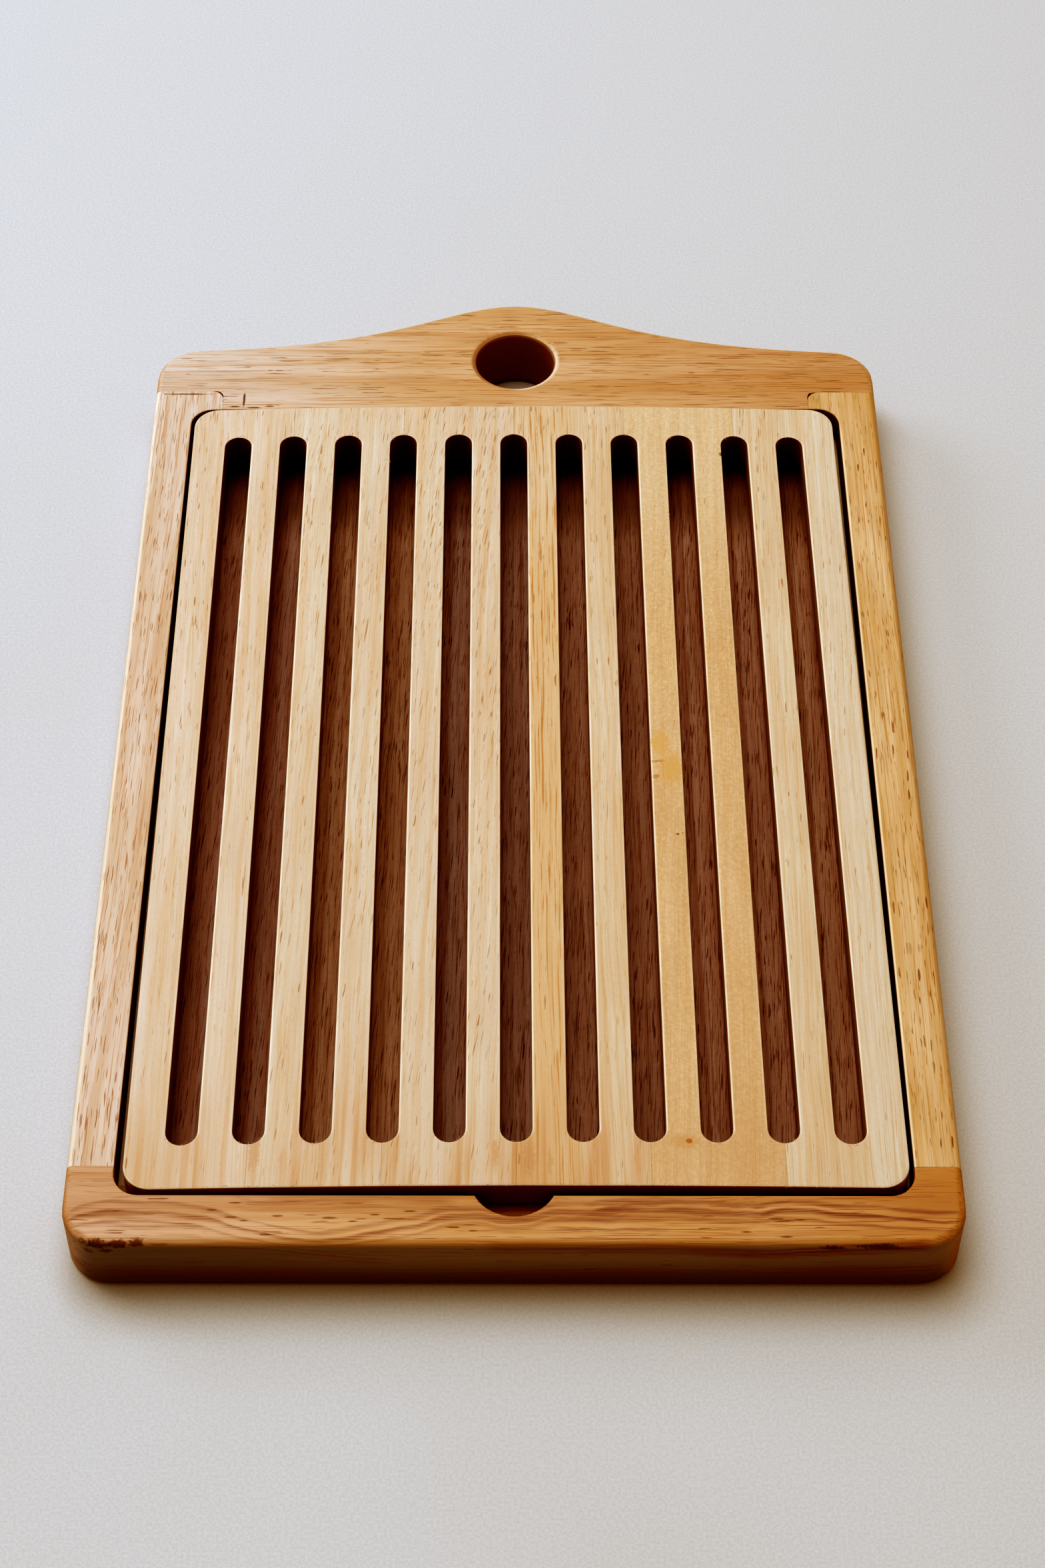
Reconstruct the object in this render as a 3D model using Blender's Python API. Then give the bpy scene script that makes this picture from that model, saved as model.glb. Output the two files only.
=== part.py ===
"""Bread board with a crumb tray: a dowelled frame of two rails and two stiles, a floor of glued staves
let into a groove round the frame, and a slotted rack of glued staves that lifts out of the frame's recess.

Units are metres and +Z is up. The origin is on the underside, in the middle of the board's width and
length. The handle end with its hole points along +Y, and the finger notch is at the -Y end.
"""

import math

import bmesh
import bpy

# Board outline
BOARD_THICKNESS = 0.025
SIDE_WALL = 0.0151
FRONT_WALL = 0.0178
TOP_WALL = 0.033
FRONT_CORNER = 0.014
HANDLE_CORNER = 0.016
OUTER_ARRIS = 0.0025
HUMP_HEIGHT = 0.0283
HUMP_REACH = 0.054
HUMP_DIP = 0.004

# Hanging hole
HOLE_DIAMETER = 0.030
HOLE_BELOW_APEX = 0.0334

# Frame joints
SIDE_LEDGE = 0.0112
END_LEDGE = 0.0102
STILE_HOUSING = 0.0098
HOUSING_CORNER = 0.003
HOUSING_RELIEF = 0.0015
GLUE_LINE = 0.00005

# Dowels, two above each other in each corner joint
DOWEL_DIAMETER = 0.006
DOWEL_LENGTH = 0.026
DOWEL_CHAMFER = 0.0008
DOWEL_FLUTE = 0.0002
DOWEL_FLUTES = 12
DOWEL_CLEARANCE = 0.00015
DOWEL_END_SPACE = 0.001
DOWEL_HEIGHT_SHARES = (0.3, 0.7)

# Slotted rack
SLOT_COUNT = 11
SLOT_PITCH = 0.021
SLOT_WIDTH = 0.010
SLOT_LENGTH = 0.320
SLOT_ARRIS = 0.0005
RACK_THICKNESS = 0.011
RACK_SIDE_MARGIN = 0.0126
RACK_END_MARGIN = 0.016
RACK_CORNER = 0.009
RACK_ARRIS = 0.0008
RACK_CUP = 0.0022
RACK_TURN = math.radians(0.22)
SLOTS_PER_STAVE = 2

# Recess that the rack drops into
RACK_SIDE_CLEARANCE = 0.0018
RACK_BACK_CLEARANCE = 0.0004
RACK_FRONT_CLEARANCE = 0.002
RECESS_CORNER = 0.008
RECESS_ARRIS = 0.0008
SEAT_GAP = 0.0003
NOTCH_RADIUS = 0.0136
NOTCH_DEPTH = 0.0075

# Tray floor
FLOOR_THICKNESS = 0.005
FLOOR_LIP = 0.0025
GROOVE_DEPTH = 0.005
FLOOR_FIT = 0.0003

# Length by which a cutter runs past what it cuts
OVERRUN = 0.004

# Steps in the round stretches
CORNER_STEPS = 8
SLOT_END_STEPS = 12
HOLE_STEPS = 48
HUMP_STEPS = 36
OUTER_ARRIS_STEPS = 3
FINE_ARRIS_STEPS = 2
SMOOTH_ANGLE = math.radians(35)

# Rack and recess
rack_width = (SLOT_COUNT - 1) * SLOT_PITCH + SLOT_WIDTH + 2 * RACK_SIDE_MARGIN
rack_length = SLOT_LENGTH + 2 * RACK_END_MARGIN
recess_width = rack_width + 2 * RACK_SIDE_CLEARANCE
recess_length = rack_length + RACK_BACK_CLEARANCE + RACK_FRONT_CLEARANCE
ledge_height = BOARD_THICKNESS - RACK_THICKNESS - SEAT_GAP

# Places along the length
board_length = FRONT_WALL + recess_length + TOP_WALL + HUMP_HEIGHT
front_y = -board_length / 2
recess_front_y = front_y + FRONT_WALL
recess_back_y = recess_front_y + recess_length
shoulder_y = recess_back_y + TOP_WALL
apex_y = shoulder_y + HUMP_HEIGHT
front_joint_y = recess_front_y + END_LEDGE
back_ledge_y = recess_back_y - END_LEDGE
back_joint_y = recess_back_y + STILE_HOUSING
rack_centre_y = recess_front_y + RACK_FRONT_CLEARANCE + rack_length / 2
hole_y = apex_y - HOLE_BELOW_APEX

# Places across the width
side_x = recess_width / 2 + SIDE_WALL
stile_inner_x = recess_width / 2 - SIDE_LEDGE
dowel_x = side_x - SIDE_WALL / 2
stile_corner = HOUSING_CORNER + HOUSING_RELIEF

# Tray floor and its groove
groove_height = FLOOR_THICKNESS + 2 * FLOOR_FIT
floor_half_width = stile_inner_x + GROOVE_DEPTH - FLOOR_FIT
floor_front_y = front_joint_y - GROOVE_DEPTH + FLOOR_FIT
floor_back_y = back_ledge_y + GROOVE_DEPTH - FLOOR_FIT
floor_stave_width = SLOTS_PER_STAVE * SLOT_PITCH


def arc(centre, radius, start, end, steps):
    """Points along an arc in plan, from one angle to another."""
    points = []
    for step in range(steps + 1):
        angle = start + (end - start) * step / steps
        points.append((centre[0] + radius * math.cos(angle), centre[1] + radius * math.sin(angle)))
    return points


def filleted(corners, steps=CORNER_STEPS):
    """Outline through corners given as (x, y, radius), each rounded by an arc that touches both its sides."""
    outline = []
    for index, (x, y, radius) in enumerate(corners):
        if radius <= 0:
            outline.append((x, y))
            continue
        before = corners[index - 1]
        after = corners[(index + 1) % len(corners)]
        angle_in = math.atan2(y - before[1], x - before[0])
        angle_out = math.atan2(after[1] - y, after[0] - x)
        turn = math.remainder(angle_out - angle_in, 2 * math.pi)
        side = math.copysign(1, turn)
        setback = radius * math.tan(abs(turn) / 2)
        start = (x - setback * math.cos(angle_in), y - setback * math.sin(angle_in))
        normal = angle_in + side * math.pi / 2
        centre = (start[0] + radius * math.cos(normal), start[1] + radius * math.sin(normal))
        first = normal + math.pi
        outline += arc(centre, radius, first, first + turn, steps)
    return outline


def rectangle(half_width, front, back, radius=0.0):
    """Outline of a rectangle across the board's middle, with square or round corners."""
    corners = [(-half_width, front, radius), (half_width, front, radius)]
    corners += [(half_width, back, radius), (-half_width, back, radius)]
    return filleted(corners)


def recess_outline(growth):
    """Outline of the rack's recess. The rack lies against its back wall, so this wall has the rack's turn."""
    half_width = recess_width / 2 + growth
    radius = RECESS_CORNER + growth
    front = recess_front_y - growth
    back = recess_back_y + growth
    lean = half_width * math.tan(RACK_TURN)
    corners = [(-half_width, front, radius), (half_width, front, radius)]
    corners += [(half_width, back + lean, radius), (-half_width, back - lean, radius)]
    return filleted(corners)


def circle(centre_y, radius, steps):
    """Outline of a circle on the board's middle line."""
    return arc((0, centre_y), radius, 0, 2 * math.pi, steps)[:-1]


def stadium(centre_x, half_width, half_length):
    """Outline of a slot along Y with half-round ends."""
    straight = half_length - half_width
    back = arc((centre_x, straight), half_width, 0, math.pi, SLOT_END_STEPS)
    front = arc((centre_x, -straight), half_width, math.pi, 2 * math.pi, SLOT_END_STEPS)
    return back + front


def hump(x):
    """Height of the handle end's bell-shaped edge above its shoulders."""
    return (HUMP_HEIGHT + HUMP_DIP) / (1 + (x / HUMP_REACH) ** 2) - HUMP_DIP


def board_outline():
    """Outline of the whole board: three straight sides, four round corners and the bell-shaped end."""
    shoulder_end = side_x - 2 * HANDLE_CORNER
    corners = [(-side_x, front_y, FRONT_CORNER), (side_x, front_y, FRONT_CORNER)]
    corners.append((side_x, shoulder_y + hump(side_x), HANDLE_CORNER))
    for step in range(HUMP_STEPS + 1):
        x = shoulder_end * (1 - 2 * step / HUMP_STEPS)
        corners.append((x, shoulder_y + hump(x), 0))
    corners.append((-side_x, shoulder_y + hump(side_x), HANDLE_CORNER))
    return filleted(corners)


def level(outline, height):
    """The outline's points at one height."""
    return [(x, y, height) for x, y in outline]


def add_object(name, shape):
    """New object in the scene that holds the bmesh shape."""
    mesh = bpy.data.meshes.new(name)
    shape.to_mesh(mesh)
    shape.free()
    piece = bpy.data.objects.new(name, mesh)
    bpy.context.collection.objects.link(piece)
    return piece


def loft(name, rings):
    """Closed solid through rings of points with equal counts, from the lowest ring to the highest."""
    shape = bmesh.new()
    loops = [[shape.verts.new(point) for point in ring] for ring in rings]
    shape.faces.new(loops[0][::-1])
    for lower, upper in zip(loops, loops[1:]):
        for index in range(len(lower)):
            following = (index + 1) % len(lower)
            shape.faces.new((lower[index], lower[following], upper[following], upper[index]))
    shape.faces.new(loops[-1])
    return add_object(name, shape)


def prism(name, outline, bottom, top):
    """Straight solid over an outline."""
    return loft(name, [level(outline, bottom), level(outline, top)])


def board_with_arris(name, outline, bottom, top, arris, steps):
    """Board over an outline, extruded to its thickness, with its upper and lower edges rounded."""
    shape = bmesh.new()
    lower = shape.faces.new([shape.verts.new(point) for point in level(outline, bottom)])
    grown = bmesh.ops.extrude_face_region(shape, geom=[lower])["geom"]
    upper = [item for item in grown if isinstance(item, bmesh.types.BMVert)]
    bmesh.ops.translate(shape, verts=upper, vec=(0, 0, top - bottom))
    bmesh.ops.recalc_face_normals(shape, faces=shape.faces)
    rims = [edge for edge in shape.edges if edge.verts[0].co.z == edge.verts[1].co.z]
    bmesh.ops.bevel(shape, geom=rims, offset=arris, segments=steps, profile=0.5, affect="EDGES")
    return add_object(name, shape)


def rim_steps(arris):
    """Growth and depth of a rounded rim, from its widest, at the surface, to its foot."""
    steps = []
    for step in range(FINE_ARRIS_STEPS + 1):
        angle = math.pi / 2 * step / FINE_ARRIS_STEPS
        steps.append((arris * (1 - math.sin(angle)), arris * (1 - math.cos(angle))))
    return steps


def through_cutter(name, outline, bottom, top, arris):
    """Cutter right through a board, flared so that both rims come out rounded. outline takes its growth."""
    rings = [level(outline(arris), bottom - OVERRUN)]
    rings += [level(outline(growth), bottom + depth) for growth, depth in rim_steps(arris)]
    rings += [level(outline(growth), top - depth) for growth, depth in rim_steps(arris)[::-1]]
    rings.append(level(outline(arris), top + OVERRUN))
    return loft(name, rings)


def pocket_cutter(name, outline, floor, top, arris):
    """Cutter for a flat-bottomed pocket, flared so that its rim comes out rounded."""
    rings = [level(outline(0), floor)]
    rings += [level(outline(growth), top - depth) for growth, depth in rim_steps(arris)[::-1]]
    rings.append(level(outline(arris), top + OVERRUN))
    return loft(name, rings)


def carve(piece, operation, tool):
    """Boolean of the piece with a tool, made part of the piece's mesh."""
    modifier = piece.modifiers.new(tool.name, "BOOLEAN")
    modifier.operation = operation
    modifier.object = tool
    modifier.solver = "EXACT"
    graph = bpy.context.evaluated_depsgraph_get()
    result = bpy.data.meshes.new_from_object(piece.evaluated_get(graph))
    piece.modifiers.clear()
    uncut = piece.data
    piece.data = result
    bpy.data.meshes.remove(uncut)


def discard(*tools):
    """Takes cutters and blanks out of the scene once they have done their work."""
    for tool in tools:
        bpy.data.meshes.remove(tool.data)


def wood(name, colour, roughness):
    """Oiled wood of one tone."""
    material = bpy.data.materials.new(name)
    material.use_nodes = True
    shader = material.node_tree.nodes["Principled BSDF"]
    shader.inputs["Base Color"].default_value = (*colour, 1)
    shader.inputs["Roughness"].default_value = roughness
    shader.inputs["Metallic"].default_value = 0
    return material


def finish(piece, name, material, holder):
    """Names a finished piece, shades its round stretches smooth and hangs it on its holder."""
    piece.name = name
    piece.data.name = name
    piece.data.materials.clear()
    piece.data.materials.append(material)
    piece.data.shade_smooth()
    piece.data.set_sharp_from_angle(angle=SMOOTH_ANGLE)
    piece.parent = holder


def holder_at(name, place, turn):
    """Empty that carries the pieces of one body."""
    holder = bpy.data.objects.new(name, None)
    holder.location = place
    holder.rotation_euler = (0, 0, turn)
    bpy.context.collection.objects.link(holder)
    return holder


def make_board_blank():
    """The frame as one slab: outline, arris, hanging hole, rack recess, finger notch and floor groove."""
    blank = board_with_arris(
        "board_blank", board_outline(), 0, BOARD_THICKNESS, OUTER_ARRIS, OUTER_ARRIS_STEPS
    )
    hole = through_cutter(
        "hanging_hole",
        lambda growth: circle(hole_y, HOLE_DIAMETER / 2 + growth, HOLE_STEPS),
        0,
        BOARD_THICKNESS,
        OUTER_ARRIS,
    )
    recess = pocket_cutter("rack_recess", recess_outline, ledge_height, BOARD_THICKNESS, RECESS_ARRIS)
    notch_centre_y = recess_front_y + NOTCH_RADIUS - NOTCH_DEPTH
    notch = pocket_cutter(
        "finger_notch",
        lambda growth: circle(notch_centre_y, NOTCH_RADIUS + growth, HOLE_STEPS),
        ledge_height,
        BOARD_THICKNESS,
        RECESS_ARRIS,
    )
    groove = prism(
        "floor_groove",
        rectangle(floor_half_width + FLOOR_FIT, floor_front_y - FLOOR_FIT, floor_back_y + FLOOR_FIT),
        FLOOR_LIP,
        FLOOR_LIP + groove_height,
    )
    for cutter in (hole, recess, notch, groove):
        carve(blank, "DIFFERENCE", cutter)
    discard(hole, recess, notch, groove)
    return blank


def dowel_places():
    """Name, x, joint y and height of each dowel."""
    places = []
    for end, joint_y in (("front", front_joint_y), ("back", back_joint_y)):
        for side, x in (("left", -dowel_x), ("right", dowel_x)):
            for row, share in zip(("lower", "upper"), DOWEL_HEIGHT_SHARES):
                places.append((f"dowel_{end}_{side}_{row}", x, joint_y, share * BOARD_THICKNESS))
    return places


def along_y(x, joint_y, height, profile, radius_at, sides):
    """Rings of a round bar along Y through a joint, for a profile of (distance from the joint, inset)."""
    rings = []
    for distance, inset in profile:
        ring = []
        for index in range(sides):
            angle = -2 * math.pi * index / sides
            radius = radius_at(index) - inset
            ring.append((x + radius * math.cos(angle), joint_y + distance, height + radius * math.sin(angle)))
        rings.append(ring)
    return rings


def make_dowel_hole(name, x, joint_y, height):
    """Cutter for one dowel's hole, which runs into both pieces of the joint."""
    reach = DOWEL_LENGTH / 2 + DOWEL_END_SPACE
    radius = DOWEL_DIAMETER / 2 + DOWEL_CLEARANCE
    profile = [(-reach, 0), (reach, 0)]
    return loft(name, along_y(x, joint_y, height, profile, lambda index: radius, 2 * DOWEL_FLUTES))


def make_dowel(name, x, joint_y, height):
    """Fluted dowel with chamfered ends, half in each piece of the joint."""
    half = DOWEL_LENGTH / 2
    shank = half - DOWEL_CHAMFER
    profile = [(-half, DOWEL_CHAMFER), (-shank, 0), (shank, 0), (half, DOWEL_CHAMFER)]
    crest = DOWEL_DIAMETER / 2
    rings = along_y(
        x, joint_y, height, profile, lambda index: crest - DOWEL_FLUTE * (index % 2), 2 * DOWEL_FLUTES
    )
    return loft(name, rings)


def frame_regions():
    """Plan outline of each frame piece, a hair apart at the glued joints."""
    half_glue = GLUE_LINE / 2
    outside_x = side_x + OVERRUN
    inner_x = stile_inner_x - half_glue
    back_y = apex_y + OVERRUN
    joint_y = back_joint_y + half_glue
    top_rail = [(-inner_x, back_ledge_y, 0), (inner_x, back_ledge_y, 0)]
    top_rail += [(inner_x, joint_y, HOUSING_CORNER), (outside_x, joint_y, 0), (outside_x, back_y, 0)]
    top_rail += [(-outside_x, back_y, 0), (-outside_x, joint_y, 0), (-inner_x, joint_y, HOUSING_CORNER)]
    front_y_outside = front_y - OVERRUN
    rail_edge_y = front_joint_y - half_glue
    bottom_rail = [(-outside_x, front_y_outside, 0), (outside_x, front_y_outside, 0)]
    bottom_rail += [(outside_x, rail_edge_y, 0), (-outside_x, rail_edge_y, 0)]
    stile_x = stile_inner_x + half_glue
    stile_front = front_joint_y + half_glue
    stile_back = back_joint_y - half_glue
    left_stile = [(-outside_x, stile_front, 0), (-stile_x, stile_front, 0)]
    left_stile += [(-stile_x, stile_back, stile_corner), (-outside_x, stile_back, 0)]
    right_stile = [(stile_x, stile_front, 0), (outside_x, stile_front, 0)]
    right_stile += [(outside_x, stile_back, 0), (stile_x, stile_back, stile_corner)]
    return {
        "top_rail": top_rail,
        "bottom_rail": bottom_rail,
        "left_stile": left_stile,
        "right_stile": right_stile,
    }


def make_frame(materials, holder):
    """Cuts the slab into two rails and two stiles, and bores them for the dowels."""
    blank = make_board_blank()
    holes = [make_dowel_hole("hole_of_" + place[0], *place[1:]) for place in dowel_places()]
    for name, region in frame_regions().items():
        piece = prism(name, filleted(region), -OVERRUN, BOARD_THICKNESS + OVERRUN)
        carve(piece, "INTERSECT", blank)
        for hole in holes:
            carve(piece, "DIFFERENCE", hole)
        finish(piece, name, materials[name], holder)
    discard(blank, *holes)
    for name, *place in dowel_places():
        finish(make_dowel(name, *place), name, materials["dowel"], holder)


def floor_joints():
    """Where the floor's glued joints run: under bars of the rack, with no sliver left at the sides."""
    reach = floor_half_width - floor_stave_width / 2
    count = math.floor(2 * reach / floor_stave_width) + 1
    return [SLOT_PITCH / 2 + (number - count // 2) * floor_stave_width for number in range(count)]


def make_floor(materials, holder):
    """Staves of the tray floor."""
    bottom = FLOOR_LIP + FLOOR_FIT
    outside = floor_half_width + GLUE_LINE / 2
    edges = [-outside, *floor_joints(), outside]
    for number, (left, right) in enumerate(zip(edges, edges[1:]), start=1):
        name = f"floor_stave_{number}"
        near = left + GLUE_LINE / 2
        far = right - GLUE_LINE / 2
        outline = [(near, floor_front_y), (far, floor_front_y), (far, floor_back_y), (near, floor_back_y)]
        stave = prism(name, outline, bottom, bottom + FLOOR_THICKNESS)
        finish(stave, name, materials["floor"], holder)


def make_rack_blank():
    """The rack as one flat panel with its slots, centred on its own origin with its underside at zero."""
    half_length = rack_length / 2
    outline = rectangle(rack_width / 2, -half_length, half_length, RACK_CORNER)
    blank = board_with_arris("rack_blank", outline, 0, RACK_THICKNESS, RACK_ARRIS, FINE_ARRIS_STEPS)
    for number in range(SLOT_COUNT):
        x = (number - (SLOT_COUNT - 1) / 2) * SLOT_PITCH
        slot = through_cutter(
            "slot",
            lambda growth: stadium(x, SLOT_WIDTH / 2 + growth, SLOT_LENGTH / 2 + growth),
            0,
            RACK_THICKNESS,
            SLOT_ARRIS,
        )
        carve(blank, "DIFFERENCE", slot)
        discard(slot)
    return blank


def cup(piece):
    """Bends a piece of the rack as the wood has moved: its middle stands proud of its long edges."""
    shape = bmesh.new()
    shape.from_mesh(piece.data)
    bmesh.ops.triangulate(shape, faces=shape.faces)
    for vertex in shape.verts:
        vertex.co.z += RACK_CUP * (1 - (vertex.co.x / (rack_width / 2)) ** 2)
    shape.to_mesh(piece.data)
    shape.free()


def make_rack(materials, holder):
    """Staves of the rack, glued edge to edge along the middle of every second slot."""
    blank = make_rack_blank()
    stave_width = SLOTS_PER_STAVE * SLOT_PITCH
    stave_count = math.ceil(SLOT_COUNT / SLOTS_PER_STAVE)
    half_length = rack_length / 2 + OVERRUN
    for number in range(stave_count):
        name = f"rack_stave_{number + 1}"
        left = (number - stave_count / 2) * stave_width + GLUE_LINE / 2
        right = (number + 1 - stave_count / 2) * stave_width - GLUE_LINE / 2
        if number == 0:
            left = -rack_width / 2 - OVERRUN
        if number == stave_count - 1:
            right = rack_width / 2 + OVERRUN
        outline = [(left, -half_length), (right, -half_length), (right, half_length), (left, half_length)]
        stave = prism(name, outline, -OVERRUN, RACK_THICKNESS + OVERRUN)
        carve(stave, "INTERSECT", blank)
        cup(stave)
        finish(stave, name, materials["rack"], holder)
    discard(blank)


def main():
    for old in list(bpy.data.objects):
        bpy.data.objects.remove(old)
    materials = {
        "top_rail": wood("golden_wood", (0.60, 0.37, 0.17), 0.55),
        "bottom_rail": wood("amber_wood", (0.56, 0.30, 0.11), 0.5),
        "left_stile": wood("pinkish_wood", (0.70, 0.50, 0.33), 0.55),
        "right_stile": wood("straw_wood", (0.66, 0.44, 0.22), 0.55),
        "rack": wood("cream_wood", (0.72, 0.54, 0.34), 0.55),
        "floor": wood("red_brown_wood", (0.45, 0.24, 0.12), 0.6),
        "dowel": wood("beech_wood", (0.62, 0.43, 0.26), 0.7),
    }
    board = holder_at("board", (0, 0, 0), 0)
    rack = holder_at("rack", (0, rack_centre_y, ledge_height + SEAT_GAP), RACK_TURN)
    make_frame(materials, board)
    make_floor(materials, board)
    make_rack(materials, rack)


main()
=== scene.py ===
# %% [markdown]
# # A bread board, finished in wood
#
# The board is a hardwood frame with a hanging hole, and a loose slotted rack that lies in it over a crumb
# tray. Its solids already exist. This lesson gives them their wood, lays the board on a table and lights it.
#
# The solids are loaded as a fixed frame: nothing here moves or resizes them. Building them again in Blender
# would be possible, but then two models would have to be kept alike.

# %% Load the solids
import math
import random

import bpy
from mathutils import Matrix, Vector
from mathutils.bvhtree import BVHTree


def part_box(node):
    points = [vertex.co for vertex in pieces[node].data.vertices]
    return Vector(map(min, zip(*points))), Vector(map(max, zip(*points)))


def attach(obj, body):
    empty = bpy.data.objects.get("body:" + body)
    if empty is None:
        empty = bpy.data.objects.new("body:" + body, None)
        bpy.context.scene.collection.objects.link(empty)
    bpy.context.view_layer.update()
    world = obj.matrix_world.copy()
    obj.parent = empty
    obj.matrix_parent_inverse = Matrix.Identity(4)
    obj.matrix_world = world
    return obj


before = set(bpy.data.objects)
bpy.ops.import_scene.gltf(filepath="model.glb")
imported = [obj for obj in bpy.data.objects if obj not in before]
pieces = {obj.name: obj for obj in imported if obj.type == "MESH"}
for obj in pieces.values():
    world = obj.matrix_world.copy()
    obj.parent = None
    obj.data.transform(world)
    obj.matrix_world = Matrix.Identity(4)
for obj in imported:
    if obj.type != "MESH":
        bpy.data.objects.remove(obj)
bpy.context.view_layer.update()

print("pieces:", len(pieces))

# %% [markdown]
# ## Places on the board
#
# The marks on the wood, such as a knot or a torn edge, lie on its faces. These faces' heights could be typed
# as numbers, but then the marks would float if a piece changed. So they are read from the pieces' boxes.

# %% Read the places from the pieces
MM = 0.001

board_low, board_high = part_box("bottom_rail")
front_y = board_low[1]
top_z = board_high[2]
back_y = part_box("top_rail")[1][1]
right_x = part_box("right_stile")[1][0]
rack_staves = sorted(name for name in pieces if name.startswith("rack_stave"))
floor_staves = sorted(name for name in pieces if name.startswith("floor_stave"))
rack_boxes = [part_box(name) for name in rack_staves]
rack_front_y = min(low[1] for low, high in rack_boxes)
rack_back_y = max(high[1] for low, high in rack_boxes)
rack_middle_y = (rack_front_y + rack_back_y) / 2
rack_top_z = max(high[2] for low, high in rack_boxes)
print("top of the frame:", round(top_z, 4), "top of the rack:", round(rack_top_z, 4))

# %% [markdown]
# ## Small tools for nodes
#
# A wood finish takes dozens of nodes. Writing each one out makes a long script that nobody reads, so a few
# helpers place a node, fill its sockets with values or with other nodes' outputs, and return what comes out.


# %% Helpers that place and join nodes
def put(tree, kind, sockets=None, **settings):
    """Adds a node, sets its properties and fills its sockets with values or with outputs of other nodes."""
    made = tree.nodes.new(kind)
    for name, value in settings.items():
        setattr(made, name, value)
    for name, value in (sockets or {}).items():
        if isinstance(value, bpy.types.NodeSocket):
            tree.links.new(value, made.inputs[name])
        else:
            made.inputs[name].default_value = value
    return made


def empty_tree(owner):
    """Returns the node tree of a material or a world, without its first nodes."""
    owner.use_nodes = True
    owner.node_tree.nodes.clear()
    return owner.node_tree


def maths(tree, operation, *values):
    """Returns the result of a Math node."""
    return put(tree, "ShaderNodeMath", dict(enumerate(values)), operation=operation).outputs[0]


def times(tree, first, *others):
    """Returns the product of all its values."""
    for value in others:
        first = maths(tree, "MULTIPLY", first, value)
    return first


def vector_maths(tree, operation, *values):
    """Returns the result of a Vector Math node."""
    sockets = (0, "Scale") if operation == "SCALE" else range(len(values))
    made = put(tree, "ShaderNodeVectorMath", dict(zip(sockets, values)), operation=operation)
    return made.outputs["Value" if operation in ("LENGTH", "DOT_PRODUCT") else "Vector"]


def turn(tree, vector, angle, centre=(0, 0, 0)):
    """Returns a vector turned about an upright axis."""
    sockets = {"Vector": vector, "Center": centre, "Angle": angle}
    return put(tree, "ShaderNodeVectorRotate", sockets, rotation_type="Z_AXIS").outputs[0]


def noise(tree, place, scale, detail=2.0, output="Fac"):
    """Returns soft noise. A larger scale along an axis makes its spots shorter that way."""
    drawn_out = vector_maths(tree, "MULTIPLY", place, scale if isinstance(scale, tuple) else 3 * (scale,))
    sockets = {"Vector": drawn_out, "Scale": 1.0, "Detail": detail}
    return put(tree, "ShaderNodeTexNoise", sockets).outputs[output]


def ramp(tree, value, low, high, start=0.0, end=1.0):
    """Returns a soft step from start to end while the value goes from low to high."""
    sockets = {"Value": value, "From Min": low, "From Max": high, "To Min": start, "To Max": end}
    return put(tree, "ShaderNodeMapRange", sockets, interpolation_type="SMOOTHSTEP").outputs["Result"]


def mix(tree, factor, first, second, blend="MIX"):
    """Returns a mix of two colours, given as sockets or as red, green, blue and 1."""
    sockets = {0: factor, 6: first, 7: second}
    return put(tree, "ShaderNodeMix", sockets, data_type="RGBA", blend_type=blend).outputs[2]


def new_group(name, inputs, outputs, kind="Float"):
    """Returns a shader node group, the outputs of its input node and the inputs of its output node."""
    group = bpy.data.node_groups.new(name, "ShaderNodeTree")
    for label, value in inputs.items():
        taken = "NodeSocketFloat" if isinstance(value, float) else "NodeSocketVector"
        socket = group.interface.new_socket(label, in_out="INPUT", socket_type=taken)
        socket.default_value = value
    for label in outputs:
        group.interface.new_socket(label, in_out="OUTPUT", socket_type="NodeSocket" + kind)
    print("making the group", name, "with", len(inputs), "inputs and", len(outputs), "outputs")
    return group, put(group, "NodeGroupInput").outputs, put(group, "NodeGroupOutput").inputs


def use(tree, name, **sockets):
    """Places the node group of that name and returns its outputs. Sockets are given with _ for each space."""
    filled = {label.replace("_", " "): value for label, value in sockets.items()}
    return put(tree, "ShaderNodeGroup", filled, node_tree=bpy.data.node_groups[name]).outputs


# %% [markdown]
# ## Soft edges without new faces
#
# The solids have flat facets, and every roundover shows them. A finer mesh would hide them, but the solids
# stay as they are. So a modifier joins the loose corners, lets the light run smoothly over shallow edges and
# keeps the steep ones sharp. A second modifier turns the normals towards the largest faces, so that a flat
# top stays flat up to its rounded edge.

# %% Smooth the shading
SHARP_ANGLE = math.radians(32)
JOIN_DISTANCE = 0.001 * MM


def make_smoothing_tree():
    """Returns the geometry node group that joins corners and sets the smooth and the sharp edges."""
    tree = bpy.data.node_groups.new("smooth_shallow_edges", "GeometryNodeTree")
    tree.interface.new_socket("Geometry", in_out="INPUT", socket_type="NodeSocketGeometry")
    tree.interface.new_socket("Geometry", in_out="OUTPUT", socket_type="NodeSocketGeometry")
    shape = put(tree, "NodeGroupInput").outputs[0]
    sockets = {"Geometry": shape, "Distance": JOIN_DISTANCE}
    shape = put(tree, "GeometryNodeMergeByDistance", sockets).outputs[0]
    shape = put(tree, "GeometryNodeRemoveAttribute", {"Geometry": shape, "Name": "custom_normal"}).outputs[0]
    shape = put(tree, "GeometryNodeSetShadeSmooth", {"Geometry": shape}, domain="FACE").outputs[0]
    angle = put(tree, "GeometryNodeInputMeshEdgeAngle").outputs["Unsigned Angle"]
    steep = put(tree, "FunctionNodeCompare", {"A": angle, "B": SHARP_ANGLE}).outputs["Result"]
    sockets = {"Geometry": shape, "Selection": steep, "Shade Smooth": False}
    shape = put(tree, "GeometryNodeSetShadeSmooth", sockets, domain="EDGE").outputs[0]
    put(tree, "NodeGroupOutput", {0: shape})
    return tree


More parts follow.
